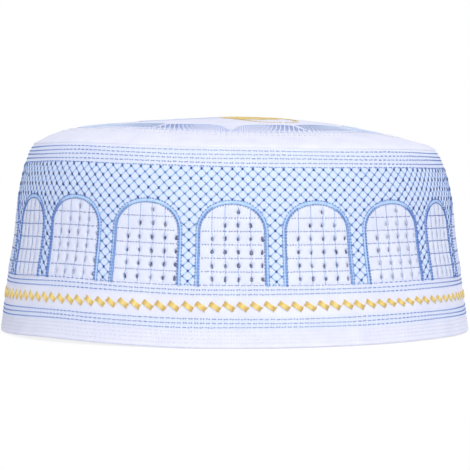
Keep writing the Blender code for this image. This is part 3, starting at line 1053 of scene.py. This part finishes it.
# Threads of each slot: a light and a deeper tone, between which the colour drifts, and the painted
# shade at a stitch's two ends
THREADS = {
    "blue_thread": {
        "satin_blue": [(0.50, 0.68, 0.93), (0.38, 0.58, 0.88), None],
        "pale_blue": [(0.34, 0.49, 0.78), (0.26, 0.41, 0.72), None],
        "line_blue": [(0.30, 0.40, 0.66), (0.21, 0.31, 0.58), (0.08, 0.13, 0.34)],
        "cross_blue": [(0.21, 0.28, 0.50), (0.14, 0.21, 0.43), (0.05, 0.08, 0.24)],
        "row_blue": [(0.20, 0.30, 0.60), (0.13, 0.22, 0.52), (0.08, 0.14, 0.40)],
        "fan_blue": [(0.34, 0.53, 0.90), (0.25, 0.44, 0.84), (0.10, 0.20, 0.54)],
        # One lattice thread in two copies: the falling one is a painted-shade copy, darker in tone and
        # at its ends
        "rising_blue": [(0.43, 0.66, 0.94), (0.34, 0.58, 0.91), (0.20, 0.36, 0.72)],
        "falling_blue": [(0.40, 0.62, 0.92), (0.31, 0.53, 0.89), (0.15, 0.30, 0.64)],
        "edge_blue": [(0.22, 0.40, 0.78), (0.14, 0.30, 0.68), (0.03, 0.07, 0.27)],
        "deep_blue": [(0.02, 0.06, 0.27), (0.01, 0.03, 0.18), None],
    },
    "gold_thread": {
        "gold": [(0.95, 0.77, 0.28), (0.88, 0.67, 0.20), (0.76, 0.53, 0.16)],
    },
    "white_thread": {
        "petal_white": [(0.70, 0.77, 0.92), (0.62, 0.70, 0.89), None],
        "white": [(0.93, 0.94, 0.97), (0.84, 0.86, 0.93), None],
        "hem_white": [(0.90, 0.91, 0.96), (0.80, 0.82, 0.91), (0.62, 0.64, 0.78)],
    },
}
# What else sets a thread apart, as spin takes it
THREAD_TRAITS = {
    "satin_blue": {"roughness": 0.42, "inner": (0.27, 0.43, 0.80)},
    # The fans' rays are painted paler on the flanks
    "fan_blue": {"far": (0.68, 0.80, 0.94)},
    "white": {"roughness": 0.6},
    "hem_white": {"roughness": 0.6},
}
# Length of one turn of a thread's plies, in millimetres
PLY_TWIST = 0.55


class Wire:
    """An output of a node as a term in an expression: an operator adds the Math node for it."""

    def __init__(self, tree, socket=None):
        self.tree, self.socket = tree, socket

    def node(self, kind, inputs=(), output=0, **settings):
        """Adds any node: first its settings, then the value or link of each named or numbered input."""
        made = self.tree.nodes.new("ShaderNode" + kind)
        for key, value in settings.items():
            setattr(made, key, value)
        for key, value in dict(inputs).items():
            if isinstance(value, Wire):
                self.tree.links.new(value.socket, made.inputs[key])
            else:
                made.inputs[key].default_value = value
        return Wire(self.tree, made.outputs[output])

    def maths(self, operation, *values):
        return self.node("Math", enumerate(values), operation=operation)

    def __add__(self, other):
        return self.maths("ADD", self, other)

    __radd__ = __add__

    def __mul__(self, other):
        return self.maths("MULTIPLY", self, other)

    __rmul__ = __mul__

    def __sub__(self, other):
        return self.maths("SUBTRACT", self, other)

    def __rsub__(self, other):
        return self.maths("SUBTRACT", other, self)

    def absolute(self):
        return self.maths("ABSOLUTE", self)

    def wave(self, length):
        """A sine of this length along the value."""
        return self.maths("SINE", self * (TURN / length))

    def clipped(self, low, high):
        return self.node("MapRange", {"Value": self, "From Min": low, "From Max": high})

    def mix(self, first, second):
        """Colours blended by this factor, each a wire or (red, green, blue)."""
        pair = [(*tone, 1) if isinstance(tone, tuple) else tone for tone in (first, second)]
        return self.node("Mix", {0: self, 6: pair[0], 7: pair[1]}, output=2, data_type="RGBA")

    def attribute(self, name):
        return self.node("Attribute", output=2, attribute_name=name)


def new_finish(name, roughness):
    """A Principled material, with the wire that starts its expressions and its shader node."""
    material = bpy.data.materials.new(name)
    material.use_nodes = True
    tree = material.node_tree
    shader = tree.nodes["Principled BSDF"]
    shader.inputs["Roughness"].default_value = roughness
    return material, Wire(tree), shader


def link(shader, name, wire):
    """Joins a wire to one of the shader's sockets."""
    wire.tree.links.new(wire.socket, shader.inputs[name])


def cloth_place(start):
    """The place on the UV map, in millimetres, and its two parts."""
    place = start.node("UVMap", uv_map="cloth")
    u = start.node("SeparateXYZ", {0: place})
    return place, u, Wire(u.tree, u.socket.node.outputs[1])


def link_surface(shader, colour, roughness, relief, deep):
    """Links what changes over the surface: its colour, its roughness and a bump `deep` high."""
    bump = relief.node("Bump", {"Strength": 0.5, "Distance": deep, "Height": relief})
    for name, wire in (("Base Color", colour), ("Roughness", roughness), ("Normal", bump)):
        link(shader, name, wire)


def cotton(name, rib, light, shade, tint, rim):
    """White quilted cotton: fine ribs one way, a plain weave of crossed waves, and soft mottling. The
    attribute sewn gives the share of the colour `tint`, and a second attribute that of `rim`, a painted
    shade in and around the eyelets."""
    material, start, shader = new_finish(name, 0.92)
    shader.inputs["Sheen Weight"].default_value = 0.1
    # Painted light: a faint glow over the whole cloth, weaker and bluer on the inside face, which
    # lightens its shaded side and what shows through the eyelets
    painted_glow = start.attribute("inside").mix((0.22, 0.24, 0.30), (0.08, 0.09, 0.18))
    link(shader, "Emission Color", painted_glow)
    shader.inputs["Emission Strength"].default_value = 0.12
    place, u, v = cloth_place(start)
    weave = u.wave(0.62) * v.wave(0.62)
    ribs = u.wave(rib)
    flat = {"noise_dimensions": "2D"}
    fibres = start.node("TexNoise", {"Vector": place, "Scale": 3.0, "Detail": 3.0}, **flat)
    mottle = start.node("TexNoise", {"Vector": place, "Scale": 0.12, "Detail": 2.0}, **flat)
    tone = mottle * 0.6 + fibres * 0.3 + (ribs * 0.5 + 0.5) * 0.1
    colour = tone.clipped(0.3, 0.7).mix(shade, light)
    colour = start.attribute("sewn").mix(colour, tint)
    # Painted shade in and around the eyelets, darkest in their sleeves
    eyelet_shade = start.attribute("eyelet_shade")
    colour = (eyelet_shade * eyelet_shade * eyelet_shade).mix(colour, rim)
    relief = weave * 0.35 + ribs * 0.35 + fibres * 1.2
    link_surface(shader, colour, 0.86 + fibres * 0.12, relief, 0.12 * MM)
    return material


def spin(name, light, shade, painted_end_shade, roughness=0.5, inner=None, far=SHADOW_BLUE):
    """Silky thread: slanting plies along each stitch, and a tone that drifts from place to place.
    Towards its two ends a stitch darkens to its end colour, a painted shade where it goes down into
    the cloth, and the attribute inner gives the part of a border that has the colour `inner`. A third
    attribute gives the share of the colour `far`: painted shade on the cap's left and right flanks,
    painted paler for the fans' rays."""
    material, start, shader = new_finish(name, roughness)
    shader.inputs["Sheen Weight"].default_value = 0.1
    _, u, v = cloth_place(start)
    plies = (u * (1 / PLY_TWIST) + v * 2.0).wave(1.0)
    spot = start.node("TexCoord", output=3)
    drift = start.node("TexNoise", {"Vector": spot, "Scale": 700.0, "Detail": 1.0})
    colour = (drift + plies * 0.12).clipped(0.3, 0.7).mix(shade, light)
    # Painted shade at the stitch's two ends, where it goes down into the cloth
    if painted_end_shade:
        rise = (1 - (2 * start.attribute("along") - 1).absolute()).clipped(0.35, 0.80)
        colour = rise.mix(painted_end_shade, colour)
    if inner:
        colour = start.attribute("inner").mix(colour, inner)
    # Painted shading on the flanks
    colour = start.attribute("painted_flank_shading").mix(colour, far)
    link_surface(shader, colour, roughness + plies * 0.06, plies, 0.04 * MM)
    return material


@functools.cache
def thread(name):
    """A thread of THREADS as its material, which is made once, and its slot."""
    slot = next(slot for slot, names in THREADS.items() if name in names)
    return spin(name + "_thread", *THREADS[slot][name], **THREAD_TRAITS.get(name, {})), slot


# Stage

SKY_STRENGTH = 0.35
KEY_STRENGTH = 2.6
BACK_STRENGTH = 0.5
FLOOR_RADIUS = 6.0
FLOOR_GLOW = 0.2
FLOOR_WHITENESS = 0.8
PURE_WHITE = (1, 1, 1, 1)


def show_to_lens(start, output, paper, paint, share):
    """To the lens `share` of the shader `paper` and the rest `paint`, which alone lights the cap."""
    seen = start.node("LightPath")
    choice = start.node("MixShader", {0: seen * share, 1: paint, 2: paper})
    start.tree.links.new(choice.socket, start.tree.nodes[output].inputs["Surface"])


def add_stage():
    """A pale floor that reaches past every view, lit a little from below so that shadows stay light,
    and to the lens mostly plain white, as in the photograph."""
    bpy.ops.mesh.primitive_circle_add(vertices=96, radius=FLOOR_RADIUS, fill_type="NGON")
    floor = bpy.context.active_object
    floor.name = "floor"
    material, start, shader = new_finish("floor_paint", 0.9)
    shader.inputs["Base Color"].default_value = (0.78, 0.78, 0.78, 1)
    shader.inputs["Emission Color"].default_value = PURE_WHITE
    shader.inputs["Emission Strength"].default_value = FLOOR_GLOW
    paper = start.node("Emission", {"Color": PURE_WHITE})
    paint = Wire(start.tree, shader.outputs[0])
    show_to_lens(start, "Material Output", paper, paint, FLOOR_WHITENESS)
    floor.data.materials.append(material)


def add_studio_light():
    """White paper behind the cap, as the lens sees it, and a cooler, dimmer light from all round it."""
    world = bpy.data.worlds.new("studio")
    bpy.context.scene.world = world
    world.use_nodes = True
    start = Wire(world.node_tree)
    paper = start.node("Background", {"Color": PURE_WHITE, "Strength": 1.0})
    around = start.node("Background", {"Color": (0.84, 0.88, 1.0, 1), "Strength": SKY_STRENGTH})
    show_to_lens(start, "World Output", paper, around, 1.0)


def add_sun(name, azimuth, elevation, strength, spread):
    """A broad soft light from far away: its azimuth and elevation are those of the lamp."""
    lamp = bpy.data.lights.new(name, "SUN")
    lamp.energy, lamp.angle = strength, math.radians(spread)
    sun = bpy.data.objects.new(name, lamp)
    bpy.context.scene.collection.objects.link(sun)
    sun.rotation_euler = (math.radians(90 - elevation), 0.0, math.radians(azimuth))


def add_camera():
    """The photograph's view: level with the upper part of the band and looking slightly down."""
    lens, distance, height = 170.1, 0.900, 70.5 * MM
    horizon, middle, focal = 155, 235, 2221
    data = bpy.data.cameras.new("camera")
    data.lens, data.sensor_width = lens, 36
    camera = bpy.data.objects.new("camera", data)
    camera.location = (0.0001, -distance, height)
    camera.rotation_euler = (math.pi / 2 - math.atan((middle - horizon) / focal), 0, 0)
    bpy.context.scene.collection.objects.link(camera)
    bpy.context.scene.camera = camera


def main():
    add_camera()
    add_stage()
    add_studio_light()
    add_sun("key", 6, 52, KEY_STRENGTH, 35)
    add_sun("back", 150, 45, BACK_STRENGTH, 40)
    bpy.context.scene.view_settings.view_transform = "Standard"

    # How the stitches of several pieces stand, as sew takes it
    low = {"height": 0.35, "slack": 0.1}
    round_low = {"height": 0.5, "slack": 0.2}

    draw = np.random.default_rng(5)
    build_band(cotton("band_cotton", 1.05, **COTTON))
    build_crown(cotton("crown_cotton", 1.1, **COTTON))
    build_satin()
    sew("arch_edging", arch_edging(draw), 0.40 * MM, "edge_blue", shadow=(0.5, 0.5))
    rows = running_rows(BLUE_ROWS, ROW_PITCH, 0.54 * MM, draw)
    sew("band_rows", rows, 0.57 * MM, "row_blue", height=0.4, taper=0.08, shadow=(0.7, 0.5))
    edges = running_rows((LATTICE_TOP, WINDOW_SILL), 1.20 * MM, 0.80 * MM, draw)
    sew("lattice_edges", edges, 0.44 * MM, "line_blue", height=0.5, shadow=(0.9, 0.9))
    hem = running_rows(HEM_ROWS, ROW_PITCH, 0.56 * MM, draw)
    sew("hem_rows", hem, 0.44 * MM, "hem_white", sides=3)

    lines, uprights = window_threads(draw)
    sew("window_crosslines", lines, 0.47 * MM, "cross_blue", height=0.45, shadow=(0.4, 0.3))
    sew("window_uprights", uprights, 0.34 * MM, "pale_blue", height=0.5, shadow=(0.2, 0.1))
    falling, rising, knots, ties = lattice_parts(draw)
    flat = {**low, "taper": 0.08}
    # Painted shade: the falling diagonals are darkened on the left flank, the rising ones on the right
    sew("lattice_falling", falling, 0.54 * MM, "falling_blue", shadow=(0.75, 0), **flat)
    sew("lattice_rising", rising, 0.54 * MM, "rising_blue", shadow=(0, 0.75), **flat)
    knot_width = (0.92 + 0.10 * np.abs(knots.flank())) * MM
    sew("lattice_knots", knots, knot_width, "deep_blue", height=0.25, slack=0.1)
    sew("lattice_ties", ties, 0.42 * MM, "deep_blue", height=0.4, slack=0.2)
    blocks, links = gold_row(draw)
    sew("gold_blocks", blocks, 0.36 * MM, "gold", sides=5, height=1.0, taper=0.06)
    sew("gold_links", links, 0.24 * MM, "gold")

    rays, outline, white_rows = fans_and_ring(draw)
    # The rays are painted paler on the flanks
    painted_pale_flanks = {"height": 0.35, "slack": 0.15, "shadow": (0.9, 0.9)}
    sew("crown_rays", rays, 0.38 * MM, "fan_blue", **painted_pale_flanks)
    sew("crown_outline", outline, 0.34 * MM, "fan_blue", **low)
    sew("crown_white_rows", white_rows, 0.40 * MM, "white", height=0.5)
    strands, lines, white_strands, white_lines = crown_flower()
    sew("crown_gold", strands, 0.50 * MM, "gold", **round_low)
    sew("crown_gold_lines", lines, 0.40 * MM, "gold", height=0.5)
    sew("crown_white", white_strands, 0.50 * MM, "petal_white", **round_low)
    sew("crown_white_lines", white_lines, 0.36 * MM, "petal_white", height=0.5)


main()
